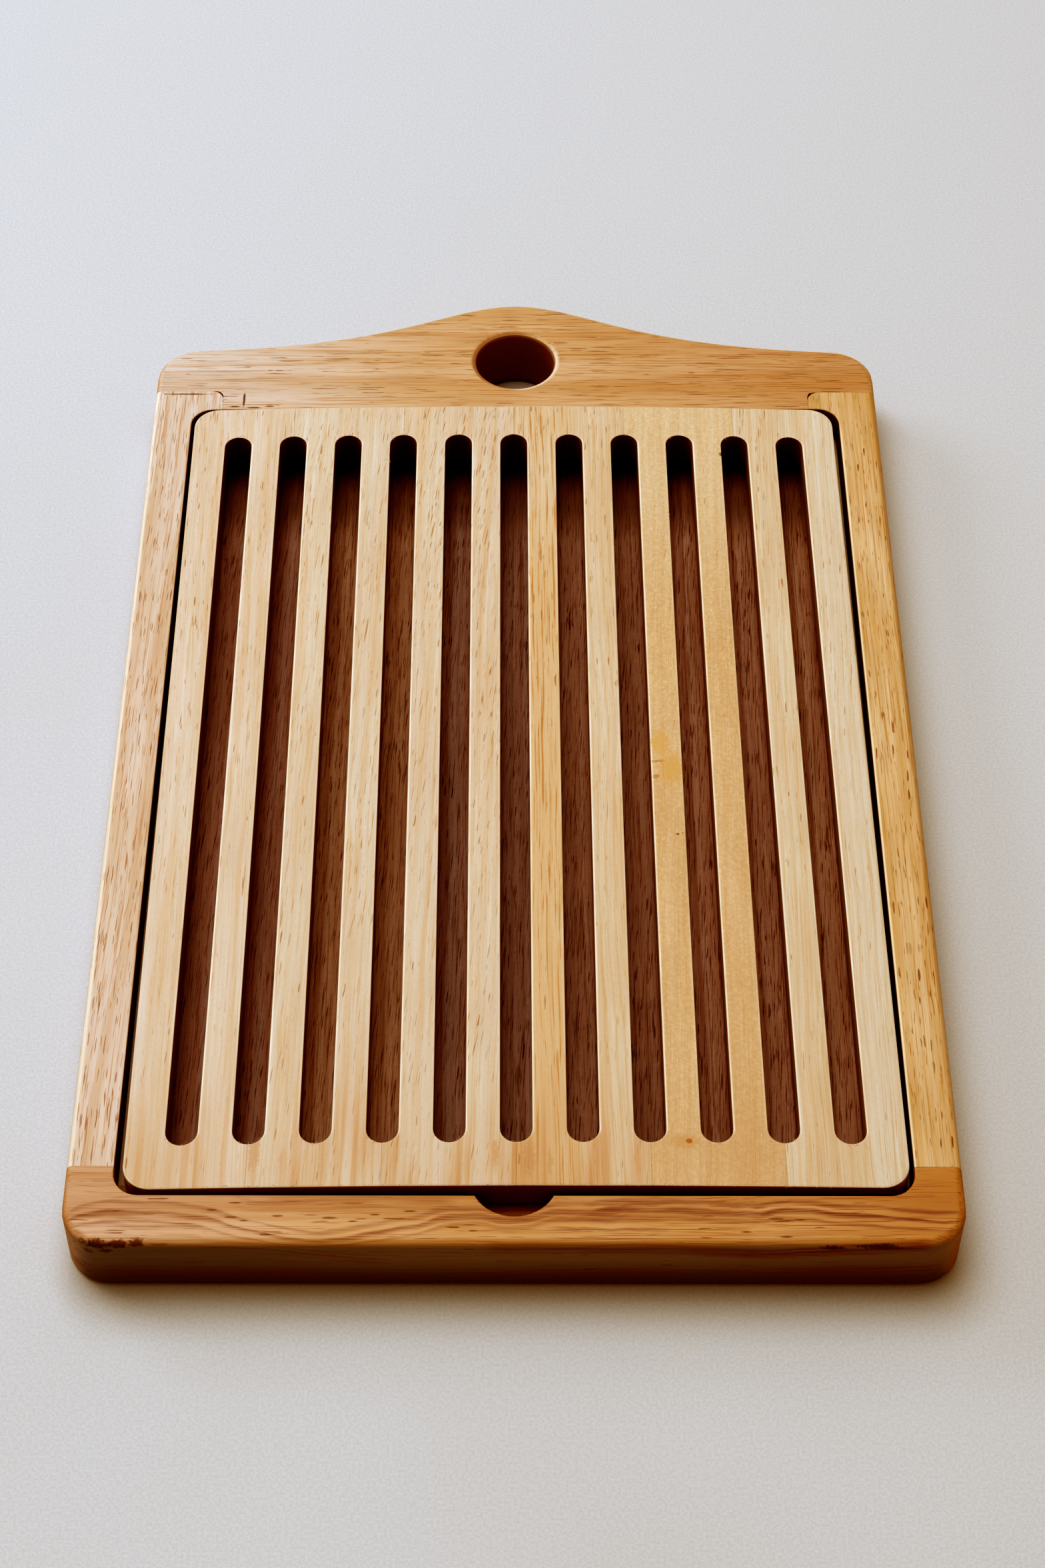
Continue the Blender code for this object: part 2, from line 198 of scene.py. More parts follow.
smoothing_tree = make_smoothing_tree()
for piece in pieces.values():
    smooth = piece.modifiers.new("smooth_shallow_edges", "NODES")
    smooth.node_group = smoothing_tree
    weigh = piece.modifiers.new("flat_faces_stay_flat", "WEIGHTED_NORMAL")
    weigh.keep_sharp = True
print("smoothed pieces:", len(pieces))

# %% [markdown]
# ## The direction of the grain
#
# Wood is a bundle of fibres, so all its marks are long one way and short the other two. The rails' grain runs
# across the board and the stiles', the rack's and the floor's runs along it. Image textures would have to be
# wrapped round every corner. A solid pattern, worked out from the place in the wood, needs no wrapping. It
# shows long dashes on a face and dots on end grain by itself, as a real plank does.
#
# This first group turns a place on the board into a place along, across and through the grain. It also lets
# the grain wander a little, because no tree grows straight.

# %% Make the group for the direction of the grain
ALONG_X = 0.0
ALONG_Y = -math.pi / 2
WANDER_SCALE = (10.0, 22.0, 22.0)

inputs = {"Position": (0, 0, 0), "Turn": 0.0, "Shift": (0, 0, 0), "Wander": 2 * MM}
group, given, out = new_group("Grain Direction", inputs, ["Grain"], "Vector")
shifted = vector_maths(group, "ADD", turn(group, given["Position"], given["Turn"]), given["Shift"])
drift = noise(group, shifted, WANDER_SCALE, output="Color")
centred = vector_maths(group, "SUBTRACT", drift, (0.5, 0.5, 0.5))
sideways = vector_maths(group, "MULTIPLY", centred, (0, 1, 1))
push = vector_maths(group, "SCALE", sideways, given["Wander"])
group.links.new(vector_maths(group, "ADD", shifted, push), out["Grain"])

# %% [markdown]
# ## Growth bands
#
# A tree adds a pale and a dark layer each year. A plank cuts through these layers, and they show as soft
# bands with a darker line at one side of each. A Wave texture gives such bands all alike. Here the distance
# from the middle of the trunk is measured instead, and noise gives each year its own width.

# %% Make the group for the growth bands
RING_DRIFT_SCALE = (3.0, 22.0, 22.0)

inputs = {"Grain": (0, 0, 0), "Pith": (0, 0, -80 * MM), "Width": 5 * MM, "Drift": 1.0}
group, given, out = new_group("Growth Bands", inputs, ["Bands", "Late Wood"])
from_pith = vector_maths(group, "SUBTRACT", given["Grain"], given["Pith"])
radius = vector_maths(group, "LENGTH", vector_maths(group, "MULTIPLY", from_pith, (0, 1, 1)))
years = maths(group, "DIVIDE", radius, given["Width"])
drift = noise(group, given["Grain"], RING_DRIFT_SCALE)
drifted = maths(group, "MULTIPLY_ADD", drift, given["Drift"], years)
bands = put(group, "ShaderNodeTexNoise", {"W": drifted, "Scale": 1.0, "Detail": 1.0},
            noise_dimensions="1D").outputs["Fac"]
part = maths(group, "FRACT", drifted)
late_wood = times(group, ramp(group, part, 0.45, 0.93), ramp(group, part, 0.93, 1.0, 1.0, 0.0))
group.links.new(ramp(group, bands, 0.3, 0.7), out["Bands"])
group.links.new(late_wood, out["Late Wood"])

# %% [markdown]
# ## Pores
#
# The short dark dashes in this wood are its pores: tubes that once carried water, cut open lengthways. They
# fill with oil and dust. Each is a drawn-out cell of a Voronoi texture. Only its core is kept, so the dashes
# never touch. Random values per cell drop some, make some fainter and some smaller, and slow noise crowds
# them in places, as they are in a plank.

# %% Make the group for the pores
RAGGED_SCALE = (300.0, 1500.0, 1500.0)
RAGGED_REACH = 0.45 * MM
DEPTH_SHARE = 1.5
INNER_SHARE = 0.68
CROWD_SCALE = (14.0, 130.0, 130.0)

inputs = {"Grain": (0, 0, 0), "Cell Length": 9 * MM, "Cell Width": 1.2 * MM, "Core": 0.22, "Share": 0.5}
group, given, out = new_group("Pores", inputs, ["Pores"])
rough = noise(group, given["Grain"], RAGGED_SCALE, 0.0)
push = maths(group, "MULTIPLY_ADD", rough, RAGGED_REACH, -RAGGED_REACH / 2)
sideways = put(group, "ShaderNodeCombineXYZ", {1: push, 2: push}).outputs[0]
place = vector_maths(group, "ADD", given["Grain"], sideways)
through = times(group, given["Cell Width"], DEPTH_SHARE)
cell = put(group, "ShaderNodeCombineXYZ", {0: given["Cell Length"], 1: given["Cell Width"], 2: through})
cells = vector_maths(group, "DIVIDE", place, cell.outputs[0])
voronoi = put(group, "ShaderNodeTexVoronoi", {"Vector": cells, "Scale": 1.0}).outputs
chance = put(group, "ShaderNodeSeparateColor", {0: voronoi["Color"]}).outputs
core = times(group, given["Core"], ramp(group, chance[2], 0.0, 1.0, 0.65, 1.25))
dash = ramp(group, voronoi["Distance"], times(group, core, INNER_SHARE), core, 1.0, 0.0)
crowd = noise(group, given["Grain"], CROWD_SCALE, 0.0)
share = times(group, given["Share"], ramp(group, crowd, 0.35, 0.65, 0.35, 1.6))
kept = ramp(group, maths(group, "SUBTRACT", share, chance[0]), 0.0, 0.04)
dark = ramp(group, chance[1], 0.0, 1.0, 0.4, 1.0)
group.links.new(times(group, dash, kept, dark), out["Pores"])

# %% [markdown]
# ## Ticks
#
# Between the bold pores lie many more fine ones. Cells would make them all alike, so these are noise drawn
# out along the grain, of which only the peaks show. Each peak thins out towards both its ends, as a cut tube
# does.

# %% Make the group for the ticks
TICK_SOFTNESS = 0.045

inputs = {"Grain": (0, 0, 0), "Length": 6 * MM, "Width": 0.4 * MM, "Level": 0.66}
group, given, out = new_group("Ticks", inputs, ["Ticks"])
size = put(group, "ShaderNodeCombineXYZ", {0: given["Length"], 1: given["Width"], 2: given["Width"]})
peaks = noise(group, vector_maths(group, "DIVIDE", given["Grain"], size.outputs[0]), 1.0, 1.0)
top = maths(group, "ADD", given["Level"], TICK_SOFTNESS)
group.links.new(ramp(group, peaks, given["Level"], top), out["Ticks"])

# %% [markdown]
# ## Fibres, hairlines and clouds
#
# Between the pores the wood still isn't flat in tone. Thin fibres run along it, a few of them dark as hairs,
# broad streaks of another tone lie between them, and oil soaks in unevenly in soft clouds. All four are
# noise, drawn out along the grain by different amounts and cut at different levels.

# %% Make the group for fibres, hairlines and clouds
FIBRE_LAYERS = (
    ("Fine Streaks", (45.0, 2100.0, 2100.0), 0.30, 0.70),
    ("Hairlines", (22.0, 1900.0, 1900.0), 0.55, 0.66),
    ("Broad Streaks", (7.0, 330.0, 330.0), 0.45, 0.70),
    ("Clouds", (16.0, 70.0, 70.0), 0.28, 0.72),
)

names = [layer[0] for layer in FIBRE_LAYERS]
group, given, out = new_group("Fibres", {"Grain": (0, 0, 0)}, names)
for label, scale, low, high in FIBRE_LAYERS:
    group.links.new(ramp(group, noise(group, given["Grain"], scale), low, high), out[label])

# %% [markdown]
# ## Ray flecks
#
# Sawn towards the heart, this wood shows its rays: thin plates that cross the fibres and break the surface
# into small bright and dark flecks. They lie at a slant to the grain and feel slightly rough.

# %% Make the group for the ray flecks
FLECK_SCALE = (1050.0, 700.0, 900.0)
FLECK_BEND = 1.6 * MM
FLECK_BEND_SCALE = 220.0

group, given, out = new_group("Ray Flecks", {"Grain": (0, 0, 0), "Slant": 0.5}, ["Flecks"])
drift = noise(group, given["Grain"], FLECK_BEND_SCALE, 1.0, "Color")
bend = vector_maths(group, "SCALE", drift, FLECK_BEND)
slanted = turn(group, vector_maths(group, "ADD", given["Grain"], bend), given["Slant"])
group.links.new(ramp(group, noise(group, slanted, FLECK_SCALE), 0.32, 0.68), out["Flecks"])

# %% [markdown]
# ## Cut faces and edges
#
# End grain drinks oil and goes dark, and a rounded edge, sanded through the oil and handled, wears pale.
# Some pieces also use these masks for painted shade and painted highlights.
# Both can be told from the way the surface faces: along the grain it is end grain, and half up, half
# sideways it is an edge. That needs no painting by hand and fits every piece.

# %% Make the group for end grain and edges
inputs = {"Normal": (0, 0, 1), "Turn": 0.0}
group, given, out = new_group("Cut Faces", inputs, ["End Grain", "Edge"])
facing = put(group, "ShaderNodeSeparateXYZ", {0: turn(group, given["Normal"], given["Turn"])}).outputs
group.links.new(ramp(group, maths(group, "ABSOLUTE", facing[0]), 0.55, 0.95), out["End Grain"])
leaves_top = ramp(group, facing[2], 0.88, 0.985, 1.0, 0.0)
reaches_side = ramp(group, facing[2], 0.12, 0.35)
group.links.new(times(group, leaves_top, reaches_side), out["Edge"])

# %% [markdown]
# ## Slot rims
#
# Each slot's rim gets a painted highlight, stronger on the slot's right side, and the walls under it painted
# shade.
# The solids' own edges can't be read by a shader, but the slots follow a rule: they lie one pitch apart and
# have round ends. So the distance from the nearest slot's middle line tells where the rim and the walls are.

# %% Make the group for slot rims
SLOT_PITCH = 21 * MM
SLOT_HALF_WIDTH = 5 * MM
SLOT_COUNT = 11
SLOT_HALF_REACH = 155 * MM
RACK_TURN = math.radians(0.22)

group, given, out = new_group("Slot Rims", {"Position": (0, 0, 0)}, ["Rim", "Inside"])
middle = (0, rack_middle_y, 0)
from_middle = vector_maths(group, "SUBTRACT", turn(group, given["Position"], -RACK_TURN, middle), middle)
x, y = put(group, "ShaderNodeSeparateXYZ", {0: from_middle}).outputs[:2]
across = maths(group, "WRAP", x, SLOT_PITCH / 2, -SLOT_PITCH / 2)
past_end = maths(group, "SUBTRACT", maths(group, "ABSOLUTE", y), SLOT_HALF_REACH)
along = maths(group, "MAXIMUM", past_end, 0.0)
away = put(group, "ShaderNodeCombineXYZ", {0: across, 1: along}).outputs[0]
distance = vector_maths(group, "LENGTH", away)
last = SLOT_PITCH * SLOT_COUNT / 2
has_slot = ramp(group, maths(group, "ABSOLUTE", x), last - MM, last, 1.0, 0.0)
# The rim mask carries a painted highlight, stronger on the slot's right side; the wall mask carries painted
# shade.
to_rim = ramp(group, distance, SLOT_HALF_WIDTH + 0.4 * MM, SLOT_HALF_WIDTH + 0.9 * MM, 1.0, 0.0)
to_wall = ramp(group, distance, SLOT_HALF_WIDTH, SLOT_HALF_WIDTH + 0.3 * MM, 1.0, 0.0)
straight_part = ramp(group, along, 0.0, 3 * MM, 1.0, 0.15)
highlit_side = ramp(group, across, -MM, MM, 0.35, 1.0)
group.links.new(times(group, to_rim, straight_part, highlit_side, has_slot), out["Rim"])
group.links.new(times(group, to_wall, has_slot), out["Inside"])

# %% [markdown]
# ## Marks placed one by one
#
# A few marks belong to this one board: knots, torn grain at a joint, long dark figure lines. A soft spot is
# an ellipsoid in the wood, and a figure line is a curve drawn through a handful of points. The line's height
# is taken from a Float Curve, and the wood is dark where it lies close to that height.

# %% Make the group for a soft spot
SPOT_RAGGED_SCALE = 900.0

inputs = {"Position": (0, 0, 0), "Centre": (0, 0, 0), "Reach": (MM, MM, MM), "Ragged": 0.5}
group, given, out = new_group("Soft Spot", inputs, ["Spot"])
away = vector_maths(group, "SUBTRACT", given["Position"], given["Centre"])
distance = vector_maths(group, "LENGTH", vector_maths(group, "DIVIDE", away, given["Reach"]))
rough = maths(group, "SUBTRACT", noise(group, given["Position"], SPOT_RAGGED_SCALE), 0.5)
ragged = maths(group, "MULTIPLY_ADD", rough, given["Ragged"], distance)
group.links.new(ramp(group, ragged, 0.45, 1.0, 1.0, 0.0), out["Spot"])

# %% Helper that draws a figure line
YEAR_WIDTH = 3.4 * MM
LINE_FADE = 4 * MM


def figure_line(tree, along, across, points, width, unsteady, breadth):
    """Returns a mask for the smooth line through the points, given as (along, across) in metres.

    The line is sharp on its far side and fades out on its near side, as late wood does. Unsteady moves it by
    some metres and breadth makes it wider or narrower. Fainter lines follow it on both sides, a year apart.
    """
    first, last = points[0][0], points[-1][0]
    low = min(height for place, height in points)
    high = max(height for place, height in points)
    span = max(high - low, MM)
    share = put(tree, "ShaderNodeMapRange", {"Value": along, "From Min": first, "From Max": last}).outputs[0]
    curve = put(tree, "ShaderNodeFloatCurve", {"Value": share})
    line = curve.mapping.curves[0]
    shares = [((place - first) / (last - first), (height - low) / span) for place, height in points]
    line.points[0].location = shares[0]
    line.points[1].location = shares[-1]
    for place, height in shares[1:-1]:
        line.points.new(place, height)
    curve.mapping.update()
    height = maths(tree, "MULTIPLY_ADD", curve.outputs[0], span, low)
    off = maths(tree, "SUBTRACT", maths(tree, "SUBTRACT", across, height), unsteady)
    near = times(tree, width, breadth)
    from_year = maths(tree, "WRAP", off, YEAR_WIDTH / 2, -YEAR_WIDTH / 2)
    above = ramp(tree, from_year, 0.0, near, 1.0, 0.0)
    below = ramp(tree, from_year, times(tree, near, -3.2), 0.0)
    fainter = ramp(tree, maths(tree, "ABSOLUTE", off), YEAR_WIDTH / 2, 1.8 * YEAR_WIDTH, 1.0, 0.0)
    starts = ramp(tree, along, first - LINE_FADE, first + LINE_FADE)
    ends = ramp(tree, along, last - LINE_FADE, last + LINE_FADE, 1.0, 0.0)
    on_year = times(tree, above, maths(tree, "POWER", below, 2.2))
    return times(tree, on_year, maths(tree, "POWER", fainter, 1.5), starts, ends)


# %% [markdown]
# ## A finish in layers
#
# A finish is built the way a colourman would: a ground colour, clouds and bands over it, then the dark pores,
# then the marks of this board. One class holds the colour and the height so far, and each layer changes them.
# A long chain written out for every piece would do the same, but it would hide what differs between them.

# %% The class that builds a wood finish
BUMP_DEPTH = 0.12 * MM


class Timber:
    """A wood finish while it is built, with its colour and its surface height so far."""

    def __init__(self, name, turned, shift, pale, deep, streak=0.12, wander=2 * MM, lean=0.0):
        """Lays the ground colour, pale to deep in clouds, with thin streaks."""
        self.material = bpy.data.materials.new(name)
        self.turned = turned
        self.tree = tree = empty_tree(self.material)
        coordinates = put(tree, "ShaderNodeTexCoord").outputs
        self.position = coordinates["Object"]
        self.normal = coordinates["Normal"]
        self.facing = put(tree, "ShaderNodeSeparateXYZ", {0: self.normal}).outputs
        self.x, self.y, self.z = put(tree, "ShaderNodeSeparateXYZ", {0: self.position}).outputs
        self.grain = use(tree, "Grain Direction", Position=self.position, Turn=turned, Shift=shift,
                         Wander=wander)["Grain"]
        self.pore_grain = turn(tree, self.grain, lean)
        self.fibres = use(tree, "Fibres", Grain=self.grain)
        clouded = mix(tree, self.fibres["Clouds"], (*pale, 1), (*deep, 1))
        light = maths(tree, "MULTIPLY_ADD", self.fibres["Fine Streaks"], streak, 1 - streak / 2)
        self.colour = mix(tree, 1.0, clouded, light, "MULTIPLY")
        self.height = times(tree, self.fibres["Fine Streaks"], 0.3)

    def ramp(self, value, low, high, start=0.0, end=1.0):
        """Returns a soft step, as the helper does."""
        return ramp(self.tree, value, low, high, start, end)

    def stain(self, mask, colour, strength, dent=0.0):
        """Lays a colour over the wood where the mask, or each of several masks, is, and dents it there."""
        if isinstance(mask, tuple):
            mask = times(self.tree, *mask)
        self.colour = mix(self.tree, times(self.tree, mask, strength), self.colour, (*colour, 1))
        if dent:
            self.height = maths(self.tree, "MULTIPLY_ADD", mask, -dent, self.height)

    def hairs(self, colour, strength):
        """Lays the dark hairlines."""
        self.stain(self.fibres["Hairlines"], colour, strength)

    def blush(self, colour, strength):
        """Lays the broad streaks of another tone."""
        self.stain(self.fibres["Broad Streaks"], colour, strength)

    def flecks(self, slant, depth, dent=0.0):
        """Darkens and roughens the wood with ray flecks."""
        mask = use(self.tree, "Ray Flecks", Grain=self.grain, Slant=slant)["Flecks"]
        light = maths(self.tree, "MULTIPLY_ADD", mask, -depth, 1 + depth / 2)
        self.colour = mix(self.tree, 1.0, self.colour, light, "MULTIPLY")
        if dent:
            self.height = maths(self.tree, "MULTIPLY_ADD", mask, -dent, self.height)

    def bands(self, colour, width, pith, drift=1.0, soft=0.3, lines=0.3):
        """Lays the growth bands, each about a width in mm."""
        rings = use(self.tree, "Growth Bands", Grain=self.grain, Pith=pith, Width=width * MM, Drift=drift)
        self.stain(rings["Bands"], colour, soft)
        self.stain(rings["Late Wood"], colour, lines)

    def pores(self, colour, length, width, share, strength=0.8, dent=0.8, core=0.28):
        """Lays the dark dashes, in cells of a length and a width in mm, of which they fill the core."""
        dashes = use(self.tree, "Pores", Grain=self.pore_grain, Cell_Length=length * MM,
                     Cell_Width=width * MM, Core=core, Share=share)["Pores"]
        self.stain(dashes, colour, strength, dent)

    def ticks(self, colour, length, width, level, strength=0.8):
        """Lays the fine dashes, with their sizes in mm. A lower level shows more of them."""
        peaks = use(self.tree, "Ticks", Grain=self.pore_grain, Length=length * MM, Width=width * MM,
                    Level=level)["Ticks"]
        self.stain(peaks, colour, strength)

    def spot(self, centre, reach, colour, strength, ragged, dent=0.0):
        """Lays one given mark, with its centre and its reach in mm."""
        mask = use(self.tree, "Soft Spot", Position=self.position, Centre=[value * MM for value in centre],
                   Reach=[value * MM for value in reach], Ragged=ragged)["Spot"]
        self.stain(mask, colour, strength, dent)

    def dashes(self, marks, colour, strength):
        """Lays single dark dashes, each given as its middle and its half length and half width, in mm."""
        for x, y, length, width in marks:
            reach = (length, width, 1.0) if self.turned == ALONG_X else (width, length, 1.0)
            self.spot((x, y, top_z / MM), reach, colour, strength, 0.6)

    def edges(self, end_colour, edge_colour, end_strength=0.5, edge_strength=0.3, where=1.0):
        """Darkens the end grain, lays the edge colour where the mask is, and returns the edges."""
        faces = use(self.tree, "Cut Faces", Normal=self.normal, Turn=self.turned)
        self.stain(faces["End Grain"], end_colour, end_strength)
        self.stain((faces["Edge"], where), edge_colour, edge_strength)
        return faces["Edge"]

    def recess(self, outer):
        """Paints shade on the recess's walls, up to outer, and returns masks for their side and the other."""
        from_middle = maths(self.tree, "ABSOLUTE", self.x)
        walls = self.ramp(self.facing[2], 0.1, 0.4, 1.0, 0.0)
        short_of_edge = self.ramp(from_middle, outer - 0.5 * MM, outer, 1.0, 0.0)
        # Painted shade on the recess walls.
        self.stain((walls, short_of_edge), (0.10, 0.05, 0.035), 0.85)
        past_ledge = self.ramp(from_middle, outer - 2.2 * MM, outer - 1.8 * MM)
        inside = times(self.tree, short_of_edge, past_ledge)
        return inside, maths(self.tree, "SUBTRACT", 1.0, inside)

    def finish(self, smooth=0.42, rough=0.6):
        """Joins the layers to the shader and returns the material."""
        roughness = self.ramp(self.fibres["Fine Streaks"], 0.0, 1.0, smooth, rough)
        sockets = {"Height": self.height, "Strength": 1.0, "Distance": BUMP_DEPTH}
        relief = put(self.tree, "ShaderNodeBump", sockets).outputs[0]
        sockets = {"Base Color": self.colour, "Roughness": roughness, "IOR": 1.45, "Normal": relief}
        shader = put(self.tree, "ShaderNodeBsdfPrincipled", sockets)
        put(self.tree, "ShaderNodeOutputMaterial", {"Surface": shader.outputs[0]}, is_active_output=True)
        return self.material


def paint(name, material):
    """Gives a piece its material."""
    for slot in pieces[name].material_slots:
        slot.material = material
    print("painted", name)


# %% [markdown]
# ## The top rail
#
# The handle end is golden tan, with thin dark dashes across the board that grow denser to the right, and it
# is paler at its left end, partly by its tone and partly by a painted sheen. Beside the left joint the cutter
# tore the grain. The hole's wall gets painted shade, and its rounded rim a painted shadow on one side and a
# painted highlight on the other.

# %% Finish the top rail
HOLE_RADIUS = 15 * MM
HOLE_CENTRE = (0, back_y - 33.4 * MM, 0)
# The side of the hole's rim that gets a painted highlight; the opposite side gets a painted shadow.
HIGHLIT_RIM_SIDE = (0.85, -0.5, 0)
CORNER_VOID = (114.3, 164.4, 0.9, 0.7)
TORN_GRAIN = ((-105, 160.5, 0.6, 5.5), (-108.5, 156.6, 3.0, 0.5), (-101, 156.0, 3.4, 0.45),
              (-95, 156.8, 2.4, 0.4), (-114, 159.5, 1.2, 1.6))

wood = Timber("top_rail_wood", ALONG_X, (0.31, 0.07, 0.02), (0.67, 0.50, 0.40), (0.61, 0.43, 0.31), 0.18,
              3 * MM)
# Paler towards the left end: partly the wood's tone and partly a painted sheen.
wood.stain(wood.ramp(wood.x, -140 * MM, -10 * MM, 1.0, 0.0), (0.715, 0.66, 0.665), 0.9)
wood.stain(wood.ramp(wood.x, 0.0, 140 * MM), (0.49, 0.265, 0.15), 0.5)
wood.bands((0.42, 0.20, 0.07), 5.5, (0, 0.2, -0.2), 1.2, soft=0.2, lines=0.2)
wood.blush((0.50, 0.28, 0.14), 0.3)
wood.hairs((0.40, 0.19, 0.09), 0.55)
wood.pores((0.20, 0.075, 0.035), 18, 0.6, share=0.3)
denser = wood.ramp(wood.x, -140 * MM, 140 * MM, 0.69, 0.64)
wood.ticks((0.28, 0.115, 0.055), 15, 0.42, denser, 0.75)
to_hole = vector_maths(wood.tree, "SUBTRACT", wood.position, HOLE_CENTRE)
from_axis = vector_maths(wood.tree, "MULTIPLY", to_hole, (1, 1, 0))
distance = vector_maths(wood.tree, "LENGTH", from_axis)
# Painted shade on the hole's wall.
hole_wall_shade = wood.ramp(distance, HOLE_RADIUS + 0.2 * MM, HOLE_RADIUS + 0.9 * MM, 1.0, 0.0)
wood.stain(hole_wall_shade, (0.28, 0.155, 0.16), 0.88)
rim = times(wood.tree, wood.ramp(distance, HOLE_RADIUS, HOLE_RADIUS + 0.3 * MM),
            wood.ramp(distance, HOLE_RADIUS + 1.2 * MM, HOLE_RADIUS + 2.8 * MM, 1.0, 0.0))
# A painted highlight on the rim's lit side and a painted shadow on the other side.
side = vector_maths(wood.tree, "DOT_PRODUCT", from_axis, HIGHLIT_RIM_SIDE)
wood.stain((rim, wood.ramp(side, 4 * MM, 12 * MM)), (0.86, 0.77, 0.72), 0.6)
wood.stain((rim, wood.ramp(side, -9 * MM, 2 * MM, 1.0, 0.0)), (0.30, 0.14, 0.07), 0.8)
wood.edges((0.30, 0.12, 0.04), (0.66, 0.47, 0.29), 0.45, 0.3)
wood.dashes((CORNER_VOID,) + TORN_GRAIN, (0.13, 0.05, 0.03), 0.9)
paint("top_rail", wood.finish())

# %% [markdown]
# ## The bottom rail
#
# The near end is the showpiece: amber wood with wavy dark figure lines, one of which runs into the finger
# notch. The front face shows the same layers from the side, under painted shade that deepens towards its
# bottom and its left end. Small knots broke out at its left end.

# %% The marks of the bottom rail, in mm
FIGURE = (
    (0.9, 0.8, ((-137, 8.3), (-124, 12), (-109, 11.4), (-97, 9.8), (-83, 5.5), (-69, 2), (-58, 0.8))),
    (1.2, 0.35, ((-137, 5.9), (-126, 8.2), (-114, 6.4), (-103, 6.7), (-95, 5))),
    (1.6, 0.45, ((-85, 16.6), (-69, 15), (-48, 16.5), (-20, 15.6))),
    (1.3, 0.85, ((-60, 1.2), (-46, 3.7), (-30, 7.5), (-15, 10.4), (1, 8.7), (14, 11.4), (27, 11.4),
                 (34, 13.1))),
    (0.6, 0.7, ((12, 5.7), (29, 5.2), (46, 5))),
    (1.2, 0.9, ((24, 11.2), (43, 12.6), (65, 11.4), (74, 10.9), (82, 12.2), (103, 10.5), (137, 8.7))),
    (1, 0.6, ((34, 14.4), (43, 15), (56, 14.6))),
    (2.8, 1, ((-8, -3.6), (42, -4), (62, -6.9), (75, -8.1), (88, -6.3), (105, -4.5), (127, -1.5))),
    (1.8, 0.7, ((-139, -21), (-90, -24), (-6, -25.7), (43, -24.7), (76, -24.2), (130, -22.7))),
    (1.2, 0.6, ((-95, -2.2), (-76, -4.5), (-60, -9.1), (-40, -13))),
    (2.6, 0.6, ((-139, -34), (-60, -33), (30, -34.5), (139, -33))),
)
LOOSE_DASHES = (
    (-86, -202, 2.6, 0.45), (-93, -204.6, 2.0, 0.4), (-87, -207.2, 2.8, 0.45), (-83, -208.4, 1.8, 0.4),
    (-72.6, -206.7, 2.4, 0.45), (-56.8, -207.4, 3.0, 0.5), (-49.6, -208.6, 2.0, 0.4),
    (-75.9, -213.4, 2.6, 0.4), (-32.1, -205, 2.6, 0.4), (-42.9, -206.2, 2.0, 0.4), (-18.7, -210.7, 2.8, 0.45),
    (-12.6, -211.9, 1.8, 0.4), (80.5, -207.5, 3.2, 0.5), (87.7, -207.9, 2.4, 0.45), (83.2, -213.9, 2.6, 0.5),
    (71.1, -212.2, 2.2, 0.45),
)
BROKEN_OUT = (
    (-133, 23.2, 4.4, 2), (-127.5, 23.8, 4.8, 2), (-121, 24, 4.2, 1.8), (-115.5, 24.2, 3.2, 1.3),
    (-131.4, 19.7, 3, 1.7), (-125, 21, 2.6, 1.2), (97, 23, 5, 1.1), (112, 23.4, 8, 1.2),
)
BROKEN_DEPTH = 2.8
print("figure lines:", len(FIGURE), "dashes:", len(LOOSE_DASHES), "broken spots:", len(BROKEN_OUT))

# %% Finish the bottom rail
SLANT = 1.5
UNSTEADY = 4 * MM

wood = Timber("bottom_rail_wood", ALONG_X, (0.05, 0.43, 0.06), (0.66, 0.45, 0.32), (0.60, 0.375, 0.225), 0.16,
              5 * MM)
tree = wood.tree
wood.stain(wood.ramp(wood.x, -140 * MM, -30 * MM, 1.0, 0.0), (0.66, 0.49, 0.44), 0.75)
wood.stain(wood.ramp(wood.x, 65 * MM, 130 * MM), (0.48, 0.23, 0.08), 0.6)
wood.bands((0.40, 0.19, 0.085), 5, (0, 0.3, -0.25), 2.4, soft=0.3, lines=0.2)
wood.blush((0.42, 0.21, 0.11), 0.35)
wood.hairs((0.32, 0.14, 0.08), wood.ramp(wood.x, -100 * MM, 130 * MM, 0.35, 0.8))
# Painted shade on the front face, deeper towards its left end and towards its bottom.
front = wood.ramp(wood.facing[1], -1.0, -0.55, 1.0, 0.0)
wood.stain(front, (0.235, 0.215, 0.185), 0.76)
wood.stain((front, wood.ramp(wood.x, -130 * MM, -20 * MM, 1.0, 0.0)), (0.12, 0.12, 0.115), 0.42)
wood.stain((front, wood.ramp(wood.z, 2 * MM, 18 * MM, 1.0, 0.0)), (0.12, 0.092, 0.082), 0.8)
depth = maths(tree, "SUBTRACT", wood.z, top_z)
sheet = maths(tree, "MULTIPLY_ADD", depth, SLANT, wood.y)
from_front = maths(tree, "SUBTRACT", sheet, front_y)
slow = noise(tree, wood.grain, 42.0, 3.0)
unsteady = maths(tree, "MULTIPLY_ADD", slow, UNSTEADY, -UNSTEADY / 2)
breadth = wood.ramp(wood.fibres["Clouds"], 0.0, 1.0, 0.4, 1.4)
uneven = wood.ramp(wood.fibres["Fine Streaks"], 0.0, 0.8, 0.5, 1.0)
stronger = wood.ramp(wood.x, 50 * MM, 130 * MM, 0.85, 1.5)
for width, strength, points in FIGURE:
    places = [(x * MM, y * MM) for x, y in points]
    line = figure_line(tree, wood.x, from_front, places, width * MM, unsteady, breadth)
    wood.stain((line, uneven, stronger), (0.24, 0.10, 0.08), min(0.9, 1.1 * strength))
wood.pores((0.20, 0.08, 0.05), 12, 0.8, share=0.12, strength=0.7)
wood.ticks((0.26, 0.11, 0.07), 14, 0.5, 0.68, 0.6)
